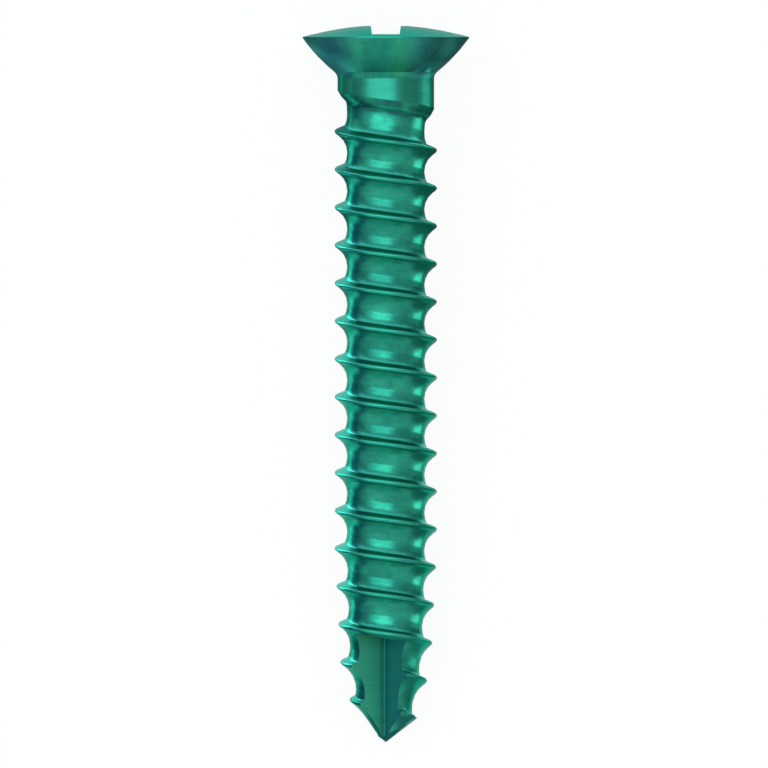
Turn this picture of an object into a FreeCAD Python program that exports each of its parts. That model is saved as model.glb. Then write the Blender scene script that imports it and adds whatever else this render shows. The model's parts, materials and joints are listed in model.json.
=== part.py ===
import FreeCAD, Part
import os
from math import atan, cos, degrees, pi, radians, sin, sqrt, tan
from FreeCAD import Vector

# A bone screw, turned from one bar. Sizes are in millimetres and degrees.
# It is modelled along its own axis: depth 0 is the flat on top of the head, and depth grows towards the tip.
# Angle 0 is the right side of the screw as it is seen from the front, with the head up, and a quarter turn
# on is the back. The thread is left-hand: on the front it falls from left to right.
# At the end the screw is laid on the floor, front side up, resting on the head's rim and on one crest.

# Overall sizes
overall_length = 18.9
head_diameter = 4.4
neck_diameter = 2.55
thread_major_diameter = 2.7
thread_core_diameter = 2.04
pitch = 1.0

# Head: a low dome with a small flat, a thin rim, and a rounded seat that runs into the neck
dome_height = 0.29
dome_flat_diameter = 1.36
rim_thickness = 0.03
seat_height = 0.96
seat_arc_radius = 4.55
neck_fillet = 0.22

# Thread form: the leading flank faces the tip and the load flank faces the head. The brow rounds the edge
# between the crest's land and each flank: its reach on the land, and how steeply it leaves the land.
crest_land = 0.06
brow_reach = 0.018
brow_angle = 30.0
leading_flank_angle = 36.5
load_flank_angle = 22.0
# The root is hollow: a round from each flank, given by its reach up the flank and along the root, and by how
# full it is (0 would be a straight cut across the corner, 1 a sharp corner)
leading_flank_reach = 0.283
leading_root_reach = 0.283
leading_fullness = 0.63
load_flank_reach = 0.10
load_root_reach = 0.28
load_fullness = 0.5

# Neck and start of the thread, measured down from the end of the seat. The crest line starts at angle 0.
neck_length = 0.99
neck_step_length = 0.42
crest_line_start = 1.003
collar_brow_reach = 0.12

# The groove is at full depth from the left side of the neck, behind which it runs out, to the point, where it
# rises again. Lengths at the point are measured back from the tip.
first_full_turns = -0.5
runout_turns = 0.40
runout_rise = 0.34
end_rise_length = 0.87
end_length = 0.70
end_rise = 0.16

# Tip, measured back from its end: the crests taper, then meet the point's cone
taper_length = 5.1
shoulder_length = 2.0
point_length = 0.62
shoulder_diameter = 2.39
point_diameter = 1.63
core_shoulder_length = 2.3
core_point_length = 0.82
core_shoulder_diameter = 1.88
core_point_diameter = 1.34
core_overrun = 0.08
core_least_radius = 0.03

# Cutting flutes: right-angled notches that start under a crest and run out through the point
flute_count = 2
flute_length = 2.74
flute_web = 0.328
flute_turn = 10.0
flute_end_slope = 9.3
flute_root_fillet = 0.05

# Cross recess in the head
recess_arm_width = 0.79
recess_span = 3.88
recess_arm_end_depth = 0.36
recess_centre_depth = 1.0
recess_floor_diameter = 0.8
recess_draft = 8.0

head_radius = head_diameter / 2
neck_radius = neck_diameter / 2
major_radius = thread_major_diameter / 2
core_radius = thread_core_diameter / 2
rim_depth = dome_height + rim_thickness
seat_depth = rim_depth + seat_height
neck_end_depth = seat_depth + neck_length
full_crest_depth = neck_end_depth + neck_step_length
crest_line_depth = seat_depth + crest_line_start
last_full_turns = (overall_length - end_rise_length - crest_line_depth) / pitch
end_turns = (overall_length - end_length - crest_line_depth) / pitch
flute_depth = overall_length - flute_length
full_turn = 2 * pi

# How the groove's cutter is made: how far it cuts past the crests and stands clear of the blank, how many
# sections it has in each turn, the least height of a flank, and how much of the root and of a flank its rounds
# may take
overcut = 0.003
cutter_margin = 0.1
stations_per_turn = 12
least_flank_height = 0.04
most_of_root = 0.98
most_of_flank = 0.9


def at(radius, depth, angle=0.0):
    """A point in the screw's own frame."""
    return Vector(radius * cos(angle), radius * sin(angle), -depth)


def value_at(outline, depth):
    """The value at a depth, straight between the outline's (depth, value) points."""
    if depth <= outline[0][0]:
        return outline[0][1]
    for (depth_a, value_a), (depth_b, value_b) in zip(outline, outline[1:]):
        if depth <= depth_b:
            return value_a + (value_b - value_a) * (depth - depth_a) / (depth_b - depth_a)
    return outline[-1][1]


crest_outline = [
    (neck_end_depth, neck_radius),
    (full_crest_depth, major_radius),
    (overall_length - taper_length, major_radius),
    (overall_length - shoulder_length, shoulder_diameter / 2),
    (overall_length - point_length, point_diameter / 2),
    (overall_length, 0.0),
]
core_outline = [
    (overall_length - taper_length, core_radius),
    (overall_length - core_shoulder_length, core_shoulder_diameter / 2),
    (overall_length - core_point_length, core_point_diameter / 2),
    (overall_length + core_overrun, 0.0),
]
brow_outline = [
    (neck_end_depth, collar_brow_reach),
    (full_crest_depth, brow_reach),
]


def dome_edge():
    """The dome's arc, from the flat's edge to the rim."""
    flat_radius = dome_flat_diameter / 2
    centre_depth = (head_radius ** 2 + dome_height ** 2 - flat_radius ** 2) / (2 * dome_height)
    dome_radius = sqrt(flat_radius ** 2 + centre_depth ** 2)
    middle_radius = (flat_radius + head_radius) / 2
    middle_depth = centre_depth - sqrt(dome_radius ** 2 - middle_radius ** 2)
    return Part.Arc(at(flat_radius, 0), at(middle_radius, middle_depth), at(head_radius, dome_height)).toShape()


def seat_edge():
    """The seat's arc, from the rim down to the neck, bulging outwards."""
    start = at(head_radius, rim_depth)
    end = at(neck_radius, seat_depth)
    chord = end - start
    outwards = Vector(-chord.z, 0, chord.x).normalize()
    rise = seat_arc_radius - sqrt(seat_arc_radius ** 2 - (chord.Length / 2) ** 2)
    return Part.Arc(start, (start + end) / 2 + outwards * rise, end).toShape()


def make_blank():
    """The turned blank, with the envelope of the thread's crests."""
    shank = [at(neck_radius, seat_depth)] + [at(radius, depth) for depth, radius in crest_outline]
    edges = [
        Part.makeLine(at(0, 0), at(dome_flat_diameter / 2, 0)),
        dome_edge(),
        Part.makeLine(at(head_radius, dome_height), at(head_radius, rim_depth)),
        seat_edge(),
        *[Part.makeLine(start, end) for start, end in zip(shank, shank[1:])],
        Part.makeLine(at(0, overall_length), at(0, 0)),
    ]
    blank = Part.Face(Part.Wire(edges)).revolve(Vector(0, 0, 0), Vector(0, 0, 1), 360)
    under_head = [edge for edge in blank.Edges if is_neck_corner(edge)]
    return blank.makeFillet(neck_fillet, under_head)


def is_neck_corner(edge):
    """Whether an edge is the circle where the seat meets the neck."""
    box = edge.BoundBox
    return abs(box.ZMin + seat_depth) < 1e-4 and abs(box.ZMax + seat_depth) < 1e-4


def groove_section(turns):
    """The groove's section in the axial plane, as runs of (radius, depth) poles, at a number of turns
    along the crest line above it. The crest line below it is one pitch further."""
    upper = crest_line_depth + pitch * turns
    lower = upper + pitch
    core_upper = value_at(core_outline, upper + pitch / 4)
    core_lower = value_at(core_outline, lower - pitch / 4)
    crest_upper = value_at(crest_outline, upper)
    upper_edge = upper + crest_land / 2
    lower_edge = lower - crest_land / 2
    beyond = (core_upper - core_lower) / 2
    core_upper += beyond
    core_lower = max(core_lower - beyond, core_least_radius)
    root_slope = (core_upper - core_lower) / pitch
    crest_lower = max(value_at(crest_outline, lower), core_lower + least_flank_height)
    leading_slope = 1 / tan(radians(leading_flank_angle))
    load_slope = 1 / tan(radians(load_flank_angle))
    leading_foot = (crest_upper - core_upper + leading_slope * upper_edge - root_slope * upper) / (
        leading_slope - root_slope
    )
    load_foot = (core_upper - crest_lower + root_slope * upper + load_slope * lower_edge) / (
        load_slope + root_slope
    )
    leading_corner = Vector(core_upper - root_slope * (leading_foot - upper), leading_foot, 0)
    load_corner = Vector(core_upper - root_slope * (load_foot - upper), load_foot, 0)
    leading_brow = brow_poles(upper_edge - value_at(brow_outline, upper), crest_upper, upper_edge, leading_corner)
    load_brow = brow_poles(lower_edge + brow_reach, crest_lower, lower_edge, load_corner)[::-1]
    root_length = leading_corner.distanceToPoint(load_corner)
    shrink = min(1, most_of_root * root_length / (leading_root_reach + load_root_reach))
    leading_round = round_poles(
        leading_brow[-1], leading_corner, load_corner,
        leading_flank_reach, leading_root_reach * shrink, leading_fullness,
    )
    load_round = round_poles(
        load_brow[0], load_corner, leading_corner,
        load_flank_reach, load_root_reach * shrink, load_fullness,
    )[::-1]
    leading_rim = Vector(major_radius + cutter_margin, leading_brow[0].y, 0)
    load_rim = Vector(major_radius + cutter_margin, load_brow[-1].y, 0)
    return [
        [leading_rim, leading_brow[0]],
        leading_brow,
        [leading_brow[-1], leading_round[0]],
        leading_round,
        [leading_round[-1], load_round[0]],
        load_round,
        [load_round[-1], load_brow[0]],
        load_brow,
        [load_brow[-1], load_rim],
        [load_rim, leading_rim],
    ]


def brow_poles(land_depth, edge_radius, edge_depth, corner):
    """The three poles of the round from a crest's land to its flank, starting just clear of the land."""
    edge = Vector(edge_radius, edge_depth, 0)
    fall = value_at(crest_outline, edge_depth) - value_at(crest_outline, land_depth)
    land = Vector(edge_radius - fall, land_depth, 0)
    along = edge - land
    flank = corner - edge
    corner_turn = along.getAngle(flank)
    brow_turn = min(radians(brow_angle), corner_turn / 2)
    flank_share = along.Length * sin(brow_turn) / sin(corner_turn - brow_turn)
    flank.normalize()
    bend = edge + flank * flank_share
    outwards = (land - bend).normalize()
    return [land + outwards * (overcut / sin(brow_turn)), bend, bend + flank * flank_share]


def round_poles(on_flank, corner, on_root, flank_reach, root_reach, fullness):
    """The four poles of a round between a flank and the root."""
    flank = on_flank - corner
    root = on_root - corner
    flank_reach = min(flank_reach, most_of_flank * flank.Length)
    flank.normalize()
    root.normalize()
    return [
        corner + flank * flank_reach,
        corner + flank * flank_reach * (1 - fullness),
        corner + root * root_reach * (1 - fullness),
        corner + root * root_reach,
    ]


def groove_rise(turns):
    """How far the cutter is lifted out of the screw at the two ends of the groove."""
    if turns < first_full_turns:
        return runout_rise * ((first_full_turns - turns) / runout_turns) ** 2
    if turns > last_full_turns:
        return end_rise * ((turns - last_full_turns) / (end_turns - last_full_turns)) ** 2
    return 0.0


def make_groove_cutter():
    """What the thread groove leaves empty, as one closed solid along the helix."""
    start = first_full_turns - runout_turns
    count = round((end_turns - start) * stations_per_turn)
    step = (end_turns - start) / count
    bulge = 3 / (2 + cos(step * full_turn))
    rows = []
    for station in range(-1, count + 2):
        turns = start + step * station
        inside = min(max(turns, start + step), end_turns - step)
        rise = groove_rise(inside)
        shift = pitch * (turns - inside)
        angle = turns * full_turn
        rows.append([
            [at((pole.x + rise) * bulge, pole.y + shift, angle) for pole in run]
            for run in groove_section(inside)
        ])
    faces = []
    start_edges = []
    end_edges = []
    for first in range(0, count, stations_per_turn):
        last = min(first + stations_per_turn, count)
        for run in range(len(rows[0])):
            surface = helical_surface([rows[station][run] for station in range(first, last + 3)])
            faces.append(surface.toShape())
            if first == 0:
                start_edges.append(surface.uIso(0.0).toShape())
            if last == count:
                end_edges.append(surface.uIso(float(last - first)).toShape())
    faces.append(Part.Face(Part.Wire(start_edges)))
    faces.append(Part.Face(Part.Wire(end_edges)))
    skin = Part.Compound(faces)
    skin.sewShape(1e-5)
    return Part.Solid(skin.Shells[0])


def helical_surface(poles):
    """A smooth surface through evenly spaced stations along the helix."""
    across = len(poles[0]) - 1
    knots = [float(knot) for knot in range(-3, len(poles) + 1)]
    surface = Part.BSplineSurface()
    surface.buildFromPolesMultsKnots(
        poles, [1] * len(knots), [across + 1] * 2, knots, [0.0, 1.0], False, False, 3, across
    )
    surface.segment(0.0, float(len(poles) - 3), 0.0, 1.0)
    return surface


def make_flute_cutter():
    """One flute's notch: a right-angled wedge whose edge runs beside the axis, closed by a sloping end."""
    reach = 2 * major_radius
    past_tip = overall_length + 1.0
    corner = Vector(0, -flute_web / 2, 0)
    wedge = Part.makePolygon([
        corner,
        corner + Vector(-reach, -reach, 0),
        corner + Vector(reach, -reach, 0),
        corner,
    ])
    top = flute_depth - reach * tan(radians(flute_end_slope))
    wedge = Part.Face(wedge).extrude(Vector(0, 0, -(past_tip - top)))
    wedge.translate(Vector(0, 0, -top))
    root_edge = [edge for edge in wedge.Edges if is_flute_root(edge)]
    wedge = wedge.makeFillet(flute_root_fillet, root_edge)
    wedge.rotate(Vector(0, 0, 0), Vector(0, 0, 1), -flute_turn)
    above = Part.makeBox(4 * reach, 4 * reach, 4 * reach, Vector(-2 * reach, -2 * reach, 0))
    above.rotate(Vector(0, 0, 0), Vector(0, 1, 0), flute_end_slope)
    above.translate(Vector(0, 0, -flute_depth))
    return wedge.cut(above)


def is_flute_root(edge):
    """Whether an edge is the wedge's inner edge, along the axis."""
    box = edge.BoundBox
    return box.XLength < 1e-4 and abs(box.YMax + flute_web / 2) < 1e-4 and box.ZLength > 1.0


def make_recess_cutter():
    """The cross recess: four drafted arms over a floor that sinks towards the centre."""
    half_top = recess_arm_width / 2
    half_span = recess_span / 2
    half_floor = half_top - recess_centre_depth * tan(radians(recess_draft))
    above = dome_height
    half_above = half_top + above * tan(radians(recess_draft))
    section = [
        Vector(-head_radius, -half_above, above),
        Vector(-head_radius, half_above, above),
        Vector(-head_radius, half_floor, -recess_centre_depth),
        Vector(-head_radius, -half_floor, -recess_centre_depth),
        Vector(-head_radius, -half_above, above),
    ]
    arm = Part.Face(Part.makePolygon(section)).extrude(Vector(head_diameter, 0, 0))
    arms = arm.fuse(arm.rotated(Vector(0, 0, 0), Vector(0, 0, 1), 90))
    profile = [
        at(0, -above),
        at(half_span, -above),
        at(half_span, recess_arm_end_depth),
        at(recess_floor_diameter / 2, recess_centre_depth),
        at(0, recess_centre_depth),
        at(0, -above),
    ]
    room = Part.Face(Part.makePolygon(profile)).revolve(Vector(0, 0, 0), Vector(0, 0, 1), 360)
    return arms.common(room)


def make_screw():
    """The finished screw, along its own axis."""
    screw = make_blank().cut(make_groove_cutter())
    screw = screw.cut(make_recess_cutter())
    flute = make_flute_cutter()
    for number in range(flute_count):
        turn = 360 * number / flute_count
        screw = screw.cut(flute.rotated(Vector(0, 0, 0), Vector(0, 0, 1), turn))
    return screw.Solids[0]


def rest_tilt():
    """The lean, in radians, at which the rim and a crest on the underside both touch the floor."""
    leans = []
    turns = 0.25
    while crest_line_depth + pitch * turns < flute_depth:
        depth = crest_line_depth + pitch * turns
        leans.append(atan((head_radius - value_at(crest_outline, depth)) / (depth - rim_depth)))
        turns += 1
    return min(lean for lean in leans if lean > 0)


def lay_down(screw):
    """The screw laid on the floor, front up and head towards +Y, with its middle over the origin."""
    tilt = rest_tilt()
    screw.rotate(Vector(0, 0, 0), Vector(1, 0, 0), -90 + degrees(tilt))
    height = head_radius * cos(tilt) + rim_depth * sin(tilt)
    screw.translate(Vector(0, overall_length / 2 * cos(tilt), height))
    return screw


os.makedirs("parts", exist_ok=True)
lay_down(make_screw()).exportStep("parts/bone_screw.step")
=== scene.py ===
import json
import math
import bpy
from mathutils import Matrix, Vector

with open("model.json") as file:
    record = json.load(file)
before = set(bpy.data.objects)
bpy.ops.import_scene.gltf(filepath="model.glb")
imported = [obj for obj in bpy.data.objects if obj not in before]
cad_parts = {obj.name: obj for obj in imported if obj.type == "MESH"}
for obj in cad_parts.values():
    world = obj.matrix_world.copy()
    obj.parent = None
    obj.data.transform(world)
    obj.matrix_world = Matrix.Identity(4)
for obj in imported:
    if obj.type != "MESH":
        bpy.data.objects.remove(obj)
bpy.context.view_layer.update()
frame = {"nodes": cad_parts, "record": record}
screw = frame["nodes"]["bone_screw"]
threadMount = next(mount for mount in frame["record"]["mounts"] if mount["name"] == "thread")

# the screw's own measures in metres, with its depths counted down from the top of the head
screwPlan = {
    "mountDepth": 0.008,         # where the thread mount sits
    "pitch": 0.001,
    "crestLineDepth": 0.002283,  # where the crest line passes the right side for the first time
}

# the screw's own directions and the middle of its head's top
toTip = Vector(threadMount["axis"]).normalized()
toRight = Vector((1, 0, 0))
toFront = toTip.cross(toRight).normalized()
toFront *= math.copysign(1, toFront.z)
headTop = Vector(threadMount["pos_m"]) - toTip * screwPlan["mountDepth"]
print("stage 1: frame loaded, the screw leans", round(math.degrees(math.asin(-toTip.z)), 2), "degrees")


def linear(red, green, blue):
    # screen values of 0 to 255 to the shader's own scale
    def channel(value):
        value /= 255
        return value / 12.92 if value <= 0.04045 else ((value + 0.055) / 1.055) ** 2.4
    return (channel(red), channel(green), channel(blue), 1.0)


def addNode(tree, kind, place, **settings):
    node = tree.nodes.new(kind)
    node.location = (place[0] * 200, place[1] * -170)
    for name, value in settings.items():
        setattr(node, name, value)
    return node


def feed(tree, socket, value):
    if isinstance(value, bpy.types.NodeSocket):
        tree.links.new(value, socket)
    elif value is not None:
        socket.default_value = value


def addMath(tree, place, operation, first, second=None):
    node = addNode(tree, "ShaderNodeMath", place, operation=operation)
    feed(tree, node.inputs[0], first)
    feed(tree, node.inputs[1], second)
    return node.outputs[0]


def addVectorMath(tree, place, operation, first, second):
    node = addNode(tree, "ShaderNodeVectorMath", place, operation=operation)
    feed(tree, node.inputs[0], first)
    feed(tree, node.inputs["Scale" if operation == "SCALE" else 1], second)
    return node.outputs["Value" if operation == "DOT_PRODUCT" else "Vector"]


def addNoise(tree, place, vector, scale, detail):
    noise = addNode(tree, "ShaderNodeTexNoise", place, noise_dimensions="3D")
    noise.inputs["Scale"].default_value = scale
    noise.inputs["Detail"].default_value = detail
    tree.links.new(vector, noise.inputs["Vector"])
    return noise.outputs["Fac"]


def mixColours(tree, place, share, first, second):
    mix = addNode(tree, "ShaderNodeMix", place, data_type="RGBA")
    colourInputs = [socket for socket in mix.inputs if socket.type == "RGBA"]
    for socket, value in zip((mix.inputs[0], *colourInputs), (share, first, second)):
        feed(tree, socket, value)
    return next(socket for socket in mix.outputs if socket.type == "RGBA")


def makeRamp(tree, place, value, stops):
    ramp = addNode(tree, "ShaderNodeValToRGB", place)
    ramp.color_ramp.interpolation = "EASE"
    elements = ramp.color_ramp.elements
    while len(elements) < len(stops):
        elements.new(0.5)
    for element, (position, shade) in zip(elements, stops):
        element.position = position
        element.color = shade
    tree.links.new(value, ramp.inputs["Fac"])
    return ramp.outputs["Color"]


def newMaterial(name):
    material = bpy.data.materials.new(name)
    material.use_nodes = True
    return material, material.node_tree


def newGroup(name, inputs, outputs):
    group = bpy.data.node_groups.new(name, "ShaderNodeTree")
    for title, kind in inputs:
        group.interface.new_socket(title, in_out="INPUT", socket_type=kind)
    for title, kind in outputs:
        group.interface.new_socket(title, in_out="OUTPUT", socket_type=kind)
    return group, addNode(group, "NodeGroupInput", (-5, 0)), addNode(group, "NodeGroupOutput", (8, 0))


def placeGroup(tree, group, place, inputs):
    node = addNode(tree, "ShaderNodeGroup", place, node_tree=group)
    for title, value in inputs.items():
        feed(tree, node.inputs[title], value)
    return node


number = "NodeSocketFloat"
arrow = "NodeSocketVector"


def makePlaceGroup():
    # where a point lies on the screw, in millimetres and turns
    arrows = ("Position", "Head Top", "To Tip", "To Right", "To Front")
    group, given, result = newGroup(
        "placeOnScrew",
        [(title, arrow) for title in arrows] + [("Crest Line Depth", number), ("Pitch", number)],
        [("Depth", number), ("Right", number), ("Front", number), ("Thread Phase", number)],
    )
    ends = (given.outputs["Position"], given.outputs["Head Top"])
    fromTop = addVectorMath(group, (-4, 0), "SUBTRACT", *ends)
    parts = []
    for row, title in enumerate(("To Tip", "To Right", "To Front")):
        metres = addVectorMath(group, (-3, row), "DOT_PRODUCT", fromTop, given.outputs[title])
        parts.append(addMath(group, (-2, row), "MULTIPLY", metres, 1000.0))
    depth, right, front = parts
    back = addMath(group, (-1, 3), "MULTIPLY", front, -1.0)
    angle = addMath(group, (0, 3), "ARCTAN2", back, right)
    turns = addMath(group, (1, 3), "DIVIDE", angle, math.tau)
    pastLine = addMath(group, (1, 0), "SUBTRACT", depth, given.outputs["Crest Line Depth"])
    turnsDown = addMath(group, (2, 0), "DIVIDE", pastLine, given.outputs["Pitch"])
    phase = addMath(group, (4, 0), "FRACT", addMath(group, (3, 0), "SUBTRACT", turnsDown, turns))
    for title, value in (("Depth", depth), ("Right", right), ("Front", front), ("Thread Phase", phase)):
        group.links.new(value, result.inputs[title])
    return group


def makeStepGroup():
    # a soft step from 0 to 1 between two values
    group, given, result = newGroup(
        "softStep", [("Value", number), ("Start", number), ("End", number)], [("Mask", number)]
    )
    step = addNode(group, "ShaderNodeMapRange", (0, 0), interpolation_type="SMOOTHSTEP")
    for title, socket in (("Value", "Value"), ("Start", "From Min"), ("End", "From Max")):
        group.links.new(given.outputs[title], step.inputs[socket])
    group.links.new(step.outputs["Result"], result.inputs["Mask"])
    return group


def makeLinesGroup(settings):
    # fine lines left by the tool, which fade in and out along their run, and wider streaks along them
    group, given, result = newGroup(
        "toolLines",
        [("Across", number), ("Right", number), ("Front", number), ("Spacing", number), ("Run", number)],
        [("Height", number), ("Streaks", number)],
    )
    linesAcross = addMath(group, (-4, 0), "DIVIDE", given.outputs["Across"], given.outputs["Spacing"])
    for row, (title, share) in enumerate((("Height", 1.0), ("Streaks", settings["streakShare"]))):
        place = addNode(group, "ShaderNodeCombineXYZ", (-2, row * 2))
        for axis, side in (("X", "Right"), ("Y", "Front")):
            along = addMath(group, (-3, row * 2), "DIVIDE", given.outputs[side], given.outputs["Run"])
            group.links.new(along, place.inputs[axis])
        across = addMath(group, (-3, row * 2 + 1), "MULTIPLY", linesAcross, share)
        group.links.new(across, place.inputs["Z"])
        noise = addNoise(group, (0, row * 2), place.outputs["Vector"], 1.0, settings["lineDetail"])
        group.links.new(noise, result.inputs[title])
    return group


titanium = {
    "green": linear(48, 158, 132),
    "greenThick": linear(37, 130, 112),  # where the film is thicker, in slow clouds and along the streaks
    "cloudSize": 0.6,                    # millimetres
    "cloudDetail": 2.0,
    "cloudLimits": (0.80, 1.20),
    "edge": (0.40, 0.50, 0.485, 1.0),    # the metal where it is seen at a flat angle
    # the dome is painted lighter, a painted highlight for the light its grazing face reflects
    "dome": linear(40, 190, 165),
    "rim": linear(34, 104, 92),
    "collar": linear(41, 130, 110),
    "collarShare": 0.75,                 # how much the collar's own film hides the clouds
    # painted shade on the flanks that face the tip, and a painted bluish highlight on those that face the
    # head
    "leadingFlankPaintedShade": linear(40, 144, 122),
    "loadFlankPaintedHighlight": linear(66, 188, 172),
    # the point is painted darker, a painted shade over the bright reflection on its side
    "point": linear(48, 138, 122),
    # blotches where the groove runs out under the collar, and a painted highlight on the groove's upper
    # corner there, lifting its shade
    "runoutDark": linear(31, 96, 92),
    "runoutLight": linear(38, 131, 105),
    "blotchLimits": (0.40, 0.66),
    "runoutCornerPaintedLight": linear(52, 162, 134),
    # painted light and shade across the seat, as it falls from its left to its right: the place in
    # millimetres and the colour
    "seat": [(-2.2, linear(59, 144, 138)), (-1.84, linear(57, 138, 134)), (-1.47, linear(54, 123, 127)),
             (-1.12, linear(52, 132, 124)), (-0.80, linear(49, 153, 123)), (-0.50, linear(39, 129, 112)),
             (-0.15, linear(34, 125, 107)), (0.43, linear(45, 146, 113)), (0.75, linear(46, 134, 122)),
             (1.10, linear(42, 112, 106)), (1.60, linear(44, 94, 88)), (2.2, linear(46, 100, 92))],
    "seatHalf": 2.2,
    "seatWander": 0.30,                  # how far the streaks shift the colours
    "fanCount": 10.0,                    # soft lines that run down the seat, in each radian round it
    "fanDetail": 4.0,
    "fanShade": 0.62,
    "footPaintedLight": 0.9,                     # how much lighter the seat's foot is painted on its right, a painted highlight
    "footRight": (0.80, 1.15),
    "footDepths": (0.85, 1.12),
    # the flute's faces are painted as lit and shaded copies: the left face lighter with painted shade
    # near the inner edge, the right face darker and bluer, and the inner edge a painted dark line
    "fluteLeftPaintedLight": linear(70, 172, 140),
    "fluteLeftInnerPaintedShade": linear(54, 132, 112),
    "fluteRightPaintedShade": linear(52, 131, 138),
    "fluteInnerEdgePaintedShade": linear(30, 99, 93),
    "roughness": 0.30,
    "roughnessSwing": 0.10,
    "seatRoughness": 0.38,
    "fluteRoughness": 0.50,
    "lineSpacing": 0.045,                # millimetres between the fine lines
    "lineRun": 0.7,                      # and how far each of them runs
    "lineDetail": 3.0,
    "lineHeight": 0.0000016,
    "lineShade": 0.33,
    "streakShare": 0.25,                 # streaks to each line
}

# places down the screw, in millimetres from the top of the head
zones = {
    "domeEnd": 0.28,
    "seatTop": 0.33,
    "seatEnd": 1.37,
    "seatFade": 0.06,
    "runoutStart": 1.85,
    "runoutEnd": 3.05,
    "runoutFade": 0.24,
    "threadStart": 2.30,
    "pointStart": 17.9,
    "pointFull": 18.25,
    "sharpness": 0.03,         # how far one colour fades into the next
}

# how far a surface faces the tip, as a sine, where a colour starts and where it is full; on the flanks
# and the groove's corner these colours are painted light and shade
facesTipLimits = {
    "leading": (0.30, 0.75),
    "load": (-0.27, -0.52),
    "runout": (0.10, 0.30),
    "corner": (0.58, 0.67),
}
cornerRight = (-0.45, -0.05)   # the corner's painted highlight is left out to the left of the axis

# the flute's two faces meet in an inner edge beside the axis, in millimetres
flutePlan = {
    "web": 0.164,              # from the axis to the inner edge
    "turn": 10,                # how far the flute is turned to the left, in degrees
    "facing": (0.68, 0.80),
    "edgeWidth": 0.025,
    "edgeShade": 0.24,         # the left face is painted darker this near to the inner edge, as shade
}


def maskStep(tree, place, value, start, end):
    step = placeGroup(tree, stepGroup, place, {"Value": value, "Start": start, "End": end})
    return step.outputs["Mask"]


def innerEdgePlace():
    turned = math.radians(-flutePlan["turn"])
    return Vector((math.sin(turned), math.cos(turned))) * flutePlan["web"]


def fluteMask(tree, row, place, normal, side):
    # the flute's face on one side: its plane runs beside the axis, at 45 degrees to the flute's middle
    facing = math.radians(45 * side - flutePlan["turn"])
    corner = innerEdgePlace()
    planeAt = corner.x * math.sin(facing) + corner.y * math.cos(facing)
    sideways = addMath(tree, (-5, row), "MULTIPLY", place.outputs["Right"], math.sin(facing))
    forward = addMath(tree, (-5, row + 1), "MULTIPLY", place.outputs["Front"], math.cos(facing))
    gap = addMath(tree, (-4, row), "ADD", sideways, forward)
    gap = addMath(tree, (-3, row), "SUBTRACT", gap, planeAt)
    gap = addMath(tree, (-2, row), "ABSOLUTE", gap)
    onPlane = maskStep(tree, (-1, row), gap, 2 * zones["sharpness"], zones["sharpness"])
    wayOut = toRight * math.sin(facing) + toFront * math.cos(facing)
    facesOut = addVectorMath(tree, (-3, row + 1), "DOT_PRODUCT", normal, wayOut)
    facesOut = maskStep(tree, (-2, row + 1), facesOut, *flutePlan["facing"])
    return addMath(tree, (0, row), "MULTIPLY", onPlane, facesOut)


def innerEdgeGap(tree, row, place):
    # how far a point is from the inner edge
    squares = []
    for step, (title, at) in enumerate(zip(("Right", "Front"), innerEdgePlace())):
        away = addMath(tree, (-5, row + step), "SUBTRACT", place.outputs[title], at)
        away = addMath(tree, (-4, row + 2), "ABSOLUTE", away)
        squares.append(addMath(tree, (-4, row + step), "POWER", away, 2.0))
    return addMath(tree, (-2, row), "SQRT", addMath(tree, (-3, row), "ADD", *squares))


def makeMasks(tree, place, normal):
    # where on the screw each colour lies, painted light and shade among them
    soft = zones["sharpness"]
    depth = place.outputs["Depth"]
    facesTip = addVectorMath(tree, (-7, 3), "DOT_PRODUCT", normal, toTip)
    masks = {}

    # the head, the point and the thread with its two flanks
    belowTop = maskStep(tree, (-5, 4), depth, zones["seatTop"] - soft, zones["seatTop"])
    aboveNeck = maskStep(tree, (-5, 5), depth, zones["seatEnd"], zones["seatEnd"] - zones["seatFade"])
    masks["seat"] = addMath(tree, (-4, 4), "MULTIPLY", belowTop, aboveNeck)
    masks["dome"] = maskStep(tree, (-5, 2), depth, zones["domeEnd"] + soft, zones["domeEnd"])
    masks["rim"] = maskStep(tree, (-5, 3), depth, zones["seatTop"] + soft, zones["seatTop"])
    masks["point"] = maskStep(tree, (-4, 8), depth, zones["pointStart"], zones["pointFull"])
    masks["thread"] = maskStep(tree, (-5, 6), depth, zones["threadStart"] - soft, zones["threadStart"])
    for row, name in ((6, "leading"), (7, "load")):
        facing = maskStep(tree, (-4, row), facesTip, *facesTipLimits[name])
        masks[name] = addMath(tree, (-3, row), "MULTIPLY", masks["thread"], facing)

    # the groove that runs out under the collar
    belowCollar = maskStep(tree, (-5, -3), depth, zones["runoutStart"], zones["runoutStart"] + soft)
    fade = zones["runoutFade"]
    aboveThread = maskStep(tree, (-5, -4), depth, zones["runoutEnd"], zones["runoutEnd"] - fade)
    inRunout = addMath(tree, (-4, -3), "MULTIPLY", belowCollar, aboveThread)
    for row, name in ((-4, "runout"), (-5, "corner")):
        facing = maskStep(tree, (-4, row), facesTip, *facesTipLimits[name])
        masks[name] = addMath(tree, (-3, row), "MULTIPLY", inRunout, facing)
    rightward = maskStep(tree, (-3, -6), place.outputs["Right"], *cornerRight)
    masks["corner"] = addMath(tree, (-2, -5), "MULTIPLY", masks["corner"], rightward)

    # the flute
    masks["fluteLeftPaintedLight"] = fluteMask(tree, 9, place, normal, 1)
    masks["fluteRightPaintedShade"] = fluteMask(tree, 12, place, normal, -1)
    gap = innerEdgeGap(tree, 15, place)
    masks["innerEdge"] = maskStep(tree, (-1, 15), gap, 2 * flutePlan["edgeWidth"], flutePlan["edgeWidth"])
    masks["nearInnerEdge"] = maskStep(tree, (-1, 16), gap, flutePlan["edgeShade"], 0.0)
    faces = addMath(tree, (0, 10), "ADD", masks["fluteLeftPaintedLight"], masks["fluteRightPaintedShade"])
    masks["flute"] = addMath(tree, (1, 10), "MAXIMUM", faces, masks["innerEdge"])
    return masks


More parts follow.
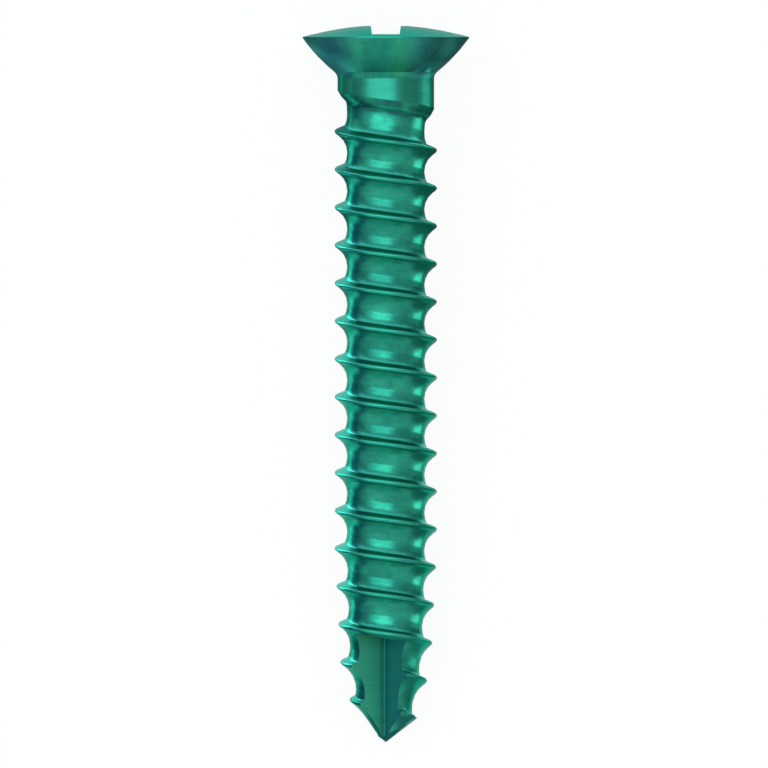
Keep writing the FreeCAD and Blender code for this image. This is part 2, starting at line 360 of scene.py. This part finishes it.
def placeLines(tree, place, masks, settings):
    # they run round the head and across the flutes, and along the groove on the thread
    offFlute = addMath(tree, (1, 6), "SUBTRACT", 1.0, masks["flute"])
    across = addNode(tree, "ShaderNodeMix", (3, 4), data_type="FLOAT")
    tree.links.new(addMath(tree, (2, 6), "MULTIPLY", masks["thread"], offFlute), across.inputs[0])
    tree.links.new(place.outputs["Depth"], across.inputs[2])
    tree.links.new(place.outputs["Thread Phase"], across.inputs[3])
    return placeGroup(tree, makeLinesGroup(settings), (4, 4), {
        "Across": across.outputs[0], "Right": place.outputs["Right"], "Front": place.outputs["Front"],
        "Spacing": settings["lineSpacing"], "Run": settings["lineRun"],
    })


def shadeFilm(tree, place, filmAndPaintedLight, noise, depth):
    # darkens and lightens a colour with a noise whose middle is 0.5
    column, row = place
    swing = addMath(tree, (column, row), "SUBTRACT", noise, 0.5)
    swing = addMath(tree, (column, row + 1), "MULTIPLY", swing, depth)
    share = addMath(tree, (column + 1, row), "ADD", swing, 1.0)
    return addVectorMath(tree, (column + 2, row), "SCALE", filmAndPaintedLight, share)


def makeSeatLinesAndPaintedLight(tree, place, streaks, settings):
    # painted light and shade across the seat, as a ramp of colours from its left to its right
    width = 2 * settings["seatHalf"]
    wander = addMath(tree, (4, 3), "SUBTRACT", streaks, 0.5)
    wander = addMath(tree, (5, 3), "MULTIPLY", wander, settings["seatWander"])
    shifted = addMath(tree, (6, 2), "ADD", place.outputs["Right"], wander)
    share = addMath(tree, (7, 3), "ADD", addMath(tree, (6, 3), "DIVIDE", shifted, width), 0.5)
    stops = [(right / width + 0.5, colour) for right, colour in settings["seat"]]
    seat = makeRamp(tree, (7, 2), share, stops)

    # soft lines down the seat
    angle = addMath(tree, (4, 9), "ARCTAN2", place.outputs["Right"], place.outputs["Front"])
    fanPlace = addNode(tree, "ShaderNodeCombineXYZ", (6, 9))
    tree.links.new(addMath(tree, (5, 9), "MULTIPLY", angle, settings["fanCount"]), fanPlace.inputs["X"])
    tree.links.new(place.outputs["Depth"], fanPlace.inputs["Y"])
    fan = addNoise(tree, (7, 9), fanPlace.outputs["Vector"], 1.0, settings["fanDetail"])
    seat = shadeFilm(tree, (8, 9), seat, fan, settings["fanShade"])

    # a painted highlight: the seat's foot is painted lighter on its right
    onRight = maskStep(tree, (5, 12), place.outputs["Right"], *settings["footRight"])
    atFoot = maskStep(tree, (5, 13), place.outputs["Depth"], *settings["footDepths"])
    paintedLift = addMath(tree, (6, 12), "MULTIPLY", onRight, atFoot)
    paintedLift = addMath(tree, (7, 12), "MULTIPLY", paintedLift, settings["footPaintedLight"])
    return addVectorMath(tree, (9, 12), "SCALE", seat, addMath(tree, (8, 12), "ADD", paintedLift, 1.0))


def makeFilmAndPaintedLight(tree, place, masks, lines, slow, settings):
    streaks = lines.outputs["Streaks"]
    thickness = addMath(tree, (5, 0), "ADD", slow, streaks)
    clouds = maskStep(tree, (5, 1), thickness, *settings["cloudLimits"])
    filmAndPaintedLight = mixColours(tree, (6, 0), clouds, settings["green"], settings["greenThick"])
    offThread = addMath(tree, (5, -1), "SUBTRACT", 1.0, masks["thread"])
    onCollar = addMath(tree, (6, -1), "MULTIPLY", offThread, settings["collarShare"])
    blotches = maskStep(tree, (7, -3), slow, *settings["blotchLimits"])
    runout = mixColours(tree, (8, -3), blotches, settings["runoutDark"], settings["runoutLight"])
    leftFacePaintedLight = settings["fluteLeftPaintedLight"]
    leftFacePaintedLight = mixColours(tree, (8, -5), masks["nearInnerEdge"], leftFacePaintedLight, settings["fluteLeftInnerPaintedShade"])
    # over the film's clouds go the zones' colours; those of the flanks, the point, the groove's corner,
    # the dome, the seat and the flute faces are painted light and shade
    layers = [
        (onCollar, settings["collar"]),
        (masks["leading"], settings["leadingFlankPaintedShade"]),
        (masks["load"], settings["loadFlankPaintedHighlight"]),
        (masks["point"], settings["point"]),
        (masks["runout"], runout),
        (masks["corner"], settings["runoutCornerPaintedLight"]),
        (masks["rim"], settings["rim"]),
        (masks["dome"], settings["dome"]),
        (masks["seat"], makeSeatLinesAndPaintedLight(tree, place, streaks, settings)),
        (masks["fluteLeftPaintedLight"], leftFacePaintedLight),
        (masks["fluteRightPaintedShade"], settings["fluteRightPaintedShade"]),
        (masks["innerEdge"], settings["fluteInnerEdgePaintedShade"]),
    ]
    for column, (mask, colour) in enumerate(layers, 9):
        filmAndPaintedLight = mixColours(tree, (column, 0), mask, filmAndPaintedLight, colour)
    # the fine lines also show as slightly lighter and darker film
    return shadeFilm(tree, (21, 0), filmAndPaintedLight, lines.outputs["Height"], settings["lineShade"])


def makeRoughness(tree, masks, streaks, settings):
    # the streaks swing it, and the seat and the flutes are duller
    swing = addMath(tree, (4, 7), "SUBTRACT", streaks, 0.5)
    swing = addMath(tree, (5, 6), "MULTIPLY", swing, settings["roughnessSwing"])
    rough = addMath(tree, (7, 6), "ADD", swing, settings["roughness"])
    for row, name in ((7, "seat"), (8, "flute")):
        more = settings[name + "Roughness"] - settings["roughness"]
        more = addMath(tree, (6, row), "MULTIPLY", masks[name], more)
        rough = addMath(tree, (row + 1, 6), "ADD", rough, more)
    return rough


def makeTitanium(settings):
    material, tree = newMaterial("anodisedTitanium")
    shader = tree.nodes["Principled BSDF"]
    shader.location = (5000, 0)
    tree.nodes["Material Output"].location = (5300, 0)
    shader.inputs["Metallic"].default_value = 1.0
    shader.inputs["Specular Tint"].default_value = settings["edge"]
    coordinates = addNode(tree, "ShaderNodeTexCoord", (-9, 0))
    place = placeGroup(tree, makePlaceGroup(), (-7, 0), {
        "Position": coordinates.outputs["Object"], "Head Top": headTop,
        "To Tip": toTip, "To Right": toRight, "To Front": toFront,
        "Crest Line Depth": screwPlan["crestLineDepth"] * 1000, "Pitch": screwPlan["pitch"] * 1000,
    })
    masks = makeMasks(tree, place, coordinates.outputs["Normal"])
    lines = placeLines(tree, place, masks, settings)
    bump = addNode(tree, "ShaderNodeBump", (9, 4))
    bump.inputs["Distance"].default_value = settings["lineHeight"]
    tree.links.new(lines.outputs["Height"], bump.inputs["Height"])
    cloudScale = 1000 / settings["cloudSize"]
    slow = addNoise(tree, (4, 0), coordinates.outputs["Object"], cloudScale, settings["cloudDetail"])
    rough = makeRoughness(tree, masks, lines.outputs["Streaks"], settings)
    tree.links.new(makeFilmAndPaintedLight(tree, place, masks, lines, slow, settings), shader.inputs["Base Color"])
    tree.links.new(rough, shader.inputs["Roughness"])
    tree.links.new(bump.outputs["Normal"], shader.inputs["Normal"])
    return material


stepGroup = makeStepGroup()
finish = makeTitanium(titanium)
for slot in screw.material_slots:
    slot.material = finish
if not screw.material_slots:
    screw.data.materials.append(finish)
print("stage 2: titanium finish on the screw")

floorPlan = {
    "size": 2.0,
    "drop": 0.00002,
    "white": (0.86, 0.86, 0.86, 1.0),
    "roughness": 0.9,
    "shine": 0.0,
    "ownLight": 0.92,          # the share of plain white that the camera sees, beside the lit paper
    "ownLightInMetal": 0.10,
}


def makeFloor(plan):
    bpy.ops.object.select_all(action="DESELECT")
    bpy.ops.mesh.primitive_plane_add(size=plan["size"], location=(0, 0, -plan["drop"]))
    floor = bpy.context.object
    floor.name = "floor"
    material, tree = newMaterial("palePaper")
    paper = tree.nodes["Principled BSDF"]
    paper.inputs["Base Color"].default_value = plan["white"]
    paper.inputs["Roughness"].default_value = plan["roughness"]
    paper.inputs["Specular IOR Level"].default_value = plan["shine"]
    # seen directly, the paper is nearly white and its shadow is faint
    path = addNode(tree, "ShaderNodeLightPath", (-4, 0))
    metalOrGlass = (path.outputs["Is Glossy Ray"], path.outputs["Is Transmission Ray"])
    reflected = addMath(tree, (-3, 1), "MAXIMUM", *metalOrGlass)
    reflected = addMath(tree, (-2, 1), "MULTIPLY", reflected, plan["ownLightInMetal"])
    direct = addMath(tree, (-2, 0), "MULTIPLY", path.outputs["Is Camera Ray"], plan["ownLight"])
    glow = addNode(tree, "ShaderNodeEmission", (0, 2))
    blend = addNode(tree, "ShaderNodeMixShader", (2, 0))
    tree.links.new(addMath(tree, (0, 0), "MAXIMUM", direct, reflected), blend.inputs["Fac"])
    tree.links.new(paper.outputs["BSDF"], blend.inputs[1])
    tree.links.new(glow.outputs["Emission"], blend.inputs[2])
    tree.links.new(blend.outputs["Shader"], tree.nodes["Material Output"].inputs["Surface"])
    floor.data.materials.append(material)
    return floor


makeFloor(floorPlan)

# the angles are counted from straight above the screw, to the right and towards the head
keySoftbox = {
    "name": "keySoftbox",
    "sideways": -11,
    "headwards": 4,
    "distance": 0.30,
    "size": (0.43, 0.27),
    "level": 1.74,             # how bright its face is, where 1 is white paper
    "colour": (0.76, 1.0, 1.03),
}


def addSoftbox(plan):
    turn = Matrix.Rotation(math.radians(-plan["headwards"]), 3, "X")
    turn = turn @ Matrix.Rotation(math.radians(plan["sideways"]), 3, "Y")
    direction = (turn @ Vector((0, 0, 1))).normalized()
    bpy.ops.object.light_add(type="AREA", location=direction * plan["distance"])
    lamp = bpy.context.object
    lamp.name = plan["name"]
    lamp.rotation_mode = "QUATERNION"
    lamp.rotation_quaternion = turn.to_quaternion()
    width, height = plan["size"]
    lamp.data.shape = "ELLIPSE"
    lamp.data.color = plan["colour"]
    lamp.data.size = width
    lamp.data.size_y = height
    lamp.data.energy = plan["level"] * math.pi * width * height * math.pi / 4
    lamp.visible_camera = False
    return lamp


addSoftbox(keySoftbox)

# low cards beside the shank that only its metal sees: depths down the screw in millimetres, and for each
# edge its distance sideways from the axis and its angle below the level, or None on the floor
cards = [
    {"name": "cardBelow", "side": 1, "depths": (2.4, 19.0),
     "edges": ((-2.4, None), (2.4, None)), "level": 1.5},
    {"name": "brightCardLeft", "side": -1, "depths": (2.9, 16.2),
     "edges": ((2.1, 49), (3.0, 32)), "level": 4.1},
    {"name": "darkCardLeft", "side": -1, "depths": (2.3, 20.0),
     "edges": ((3.2, 30), (3.4, -7)), "level": 1.0, "tint": (0.08, 0.17, 0.33)},
    {"name": "brightCardRight", "side": 1, "depths": (2.4, 17.2),
     "edges": ((2.6, 38), (3.4, -3)), "level": 3.0},
    {"name": "collarCardRight", "side": 1, "depths": (1.36, 2.5),
     "edges": ((2.6, 37), (3.4, 2)), "level": 1.72},
    {"name": "collarCardLeft", "side": -1, "depths": (1.0, 2.5),
     "edges": ((2.5, 42), (2.7, 35)), "level": 2.2},
]
warmWhite = (1.0, 1.0, 0.96)

# the edges' angles start at a place beside and above the axis, and every card stays clear of the floor
shankSide = {"at": 0.8, "rise": 0.5, "clear": 0.04}

# a row of dark blades in front of a card, so that only metal which faces their gaps sees it: how far they
# reach towards the screw in millimetres, and how much they lean towards the tip on the way, in degrees
louvres = [
    {"card": "cardBelow", "lean": 32, "reach": 0.5},
    {"card": "brightCardLeft", "lean": 11, "reach": 0.5},
    {"card": "brightCardRight", "lean": -9, "reach": 0.7},
]
blades = {"spacing": 0.25, "shade": (0.22, 0.25, 0.25)}

# a dark mat on the floor, lower than the cards
mat = {"name": "darkMat", "depths": (0.0, 40.0), "halfWidth": 30.0, "shade": (0.38, 0.41, 0.42)}


def finishCard(card, name, shade):
    card.name = name
    material, tree = newMaterial(name + "Paper")
    tree.nodes.remove(tree.nodes["Principled BSDF"])
    glow = addNode(tree, "ShaderNodeEmission", (0, 0))
    glow.inputs["Color"].default_value = (*shade, 1.0)
    tree.links.new(glow.outputs["Emission"], tree.nodes["Material Output"].inputs["Surface"])
    card.data.materials.append(material)
    card.visible_camera = False
    card.visible_diffuse = False
    card.visible_shadow = False
    return card


def besideShank(side, depth, away, below):
    # a place beside the screw in metres, from millimetres
    onAxis = headTop + toTip * depth / 1000
    height = shankSide["clear"] / 1000
    if below is not None:
        drop = (away - shankSide["at"]) * math.tan(math.radians(below)) - shankSide["rise"]
        height = max(height, onAxis.z - drop / 1000)
    return Vector((side * away / 1000, onAxis.y, height))


def addPlane():
    bpy.ops.object.select_all(action="DESELECT")
    bpy.ops.mesh.primitive_plane_add(size=1.0)
    return bpy.context.object


def addCard(plan):
    card = addPlane()
    for vertex in card.data.vertices:
        depth = plan["depths"][1 if vertex.co.y < 0 else 0]
        away, below = plan["edges"][0 if vertex.co.x < 0 else 1]
        vertex.co = besideShank(plan["side"], depth, away, below)
    shade = [plan["level"] * value for value in plan.get("tint", warmWhite)]
    return finishCard(card, plan["name"], shade)


def addLouvre(plan):
    card = next(card for card in cards if card["name"] == plan["card"])
    row = addPlane()
    onFloor = card["edges"][0][1] is None
    inwards = Vector((0, 0, 1)) if onFloor else Vector((-card["side"], 0, 0))
    inwards += toTip * math.tan(math.radians(plan["lean"]))
    for vertex in row.data.vertices:
        away, below = card["edges"][0 if vertex.co.x < 0 else 1]
        outer = besideShank(card["side"], card["depths"][0], away, below)
        vertex.co = outer if vertex.co.y < 0 else outer + inwards * plan["reach"] / 1000
    copies = row.modifiers.new("row", "ARRAY")
    copies.use_relative_offset = False
    copies.use_constant_offset = True
    copies.constant_offset_displace = toTip * blades["spacing"] / 1000
    copies.count = round((card["depths"][1] - card["depths"][0]) / blades["spacing"])
    return finishCard(row, plan["card"] + "Blades", blades["shade"])


def addMat(plan):
    ground = addPlane()
    for vertex in ground.data.vertices:
        away = plan["halfWidth"] * (1 if vertex.co.x > 0 else -1)
        vertex.co = besideShank(1, plan["depths"][1 if vertex.co.y < 0 else 0], away, None)
        vertex.co.z /= 2
    return finishCard(ground, plan["name"], plan["shade"])


for plan in cards:
    addCard(plan)
for plan in louvres:
    addLouvre(plan)
addMat(mat)

# the room around, as shades from the left to the right and from the tip's end to the head's
studio = {
    "leftToRight": [(0.0, (0.27, 0.34, 0.46, 1)), (0.05, (0.62, 0.64, 0.68, 1)),
                    (0.13, (0.76, 0.76, 0.76, 1)), (0.75, (0.72, 0.72, 0.72, 1)),
                    (0.92, (0.61, 0.61, 0.62, 1)), (1.0, (0.53, 0.53, 0.55, 1))],
    "tipToHead": [(0.0, (1.5, 1.5, 1.5, 1)), (0.3, (1.15, 1.15, 1.15, 1)),
                  (0.5, (1.0, 1.0, 1.0, 1)), (1.0, (1.1, 1.1, 1.1, 1))],
    "wall": (1.0, 1.0, 1.0, 1.0),        # what the camera itself sees of it
}


def makeStudio(plan):
    world = bpy.data.worlds.new("studio")
    bpy.context.scene.world = world
    world.use_nodes = True
    tree = world.node_tree
    coordinates = addNode(tree, "ShaderNodeTexCoord", (-8, 0))
    split = addNode(tree, "ShaderNodeSeparateXYZ", (-7, 0))
    tree.links.new(coordinates.outputs["Generated"], split.inputs["Vector"])
    shades = []
    for row, (axis, stops) in enumerate((("X", plan["leftToRight"]), ("Y", plan["tipToHead"]))):
        half = addMath(tree, (-6, row), "MULTIPLY", split.outputs[axis], 0.5)
        shades.append(makeRamp(tree, (-4, row * 2), addMath(tree, (-5, row), "ADD", half, 0.5), stops))
    room = addVectorMath(tree, (-2, 0), "MULTIPLY", *shades)
    path = addNode(tree, "ShaderNodeLightPath", (-2, 2))
    shade = mixColours(tree, (-1, 0), path.outputs["Is Camera Ray"], room, plan["wall"])
    tree.links.new(shade, tree.nodes["Background"].inputs["Color"])
    return world


makeStudio(studio)

cameraPlan = {
    "metresPerPixel": 0.0000263864,
    "picture": 768,
    "axisColumn": 385.8,       # where the screw's axis and the top of its head come in the picture
    "topRow": 25.9,
    "distance": 0.2,
    "clipping": (0.001, 2.0),
}


def addCamera(plan):
    rowsDown = plan["picture"] / 2 - plan["topRow"]
    columnsRight = plan["picture"] / 2 - plan["axisColumn"]
    aim = headTop + (toTip * rowsDown + toRight * columnsRight) * plan["metresPerPixel"]
    bpy.ops.object.camera_add(location=aim + toFront * plan["distance"])
    camera = bpy.context.object
    camera.rotation_euler = (math.atan2(-toFront.y, toFront.z), 0, 0)
    camera.data.type = "ORTHO"
    camera.data.ortho_scale = plan["picture"] * plan["metresPerPixel"]
    camera.data.clip_start, camera.data.clip_end = plan["clipping"]
    bpy.context.scene.camera = camera
    return camera


addCamera(cameraPlan)
bpy.context.scene.view_settings.view_transform = "Standard"
print("stage 3: floor, lights and camera set")
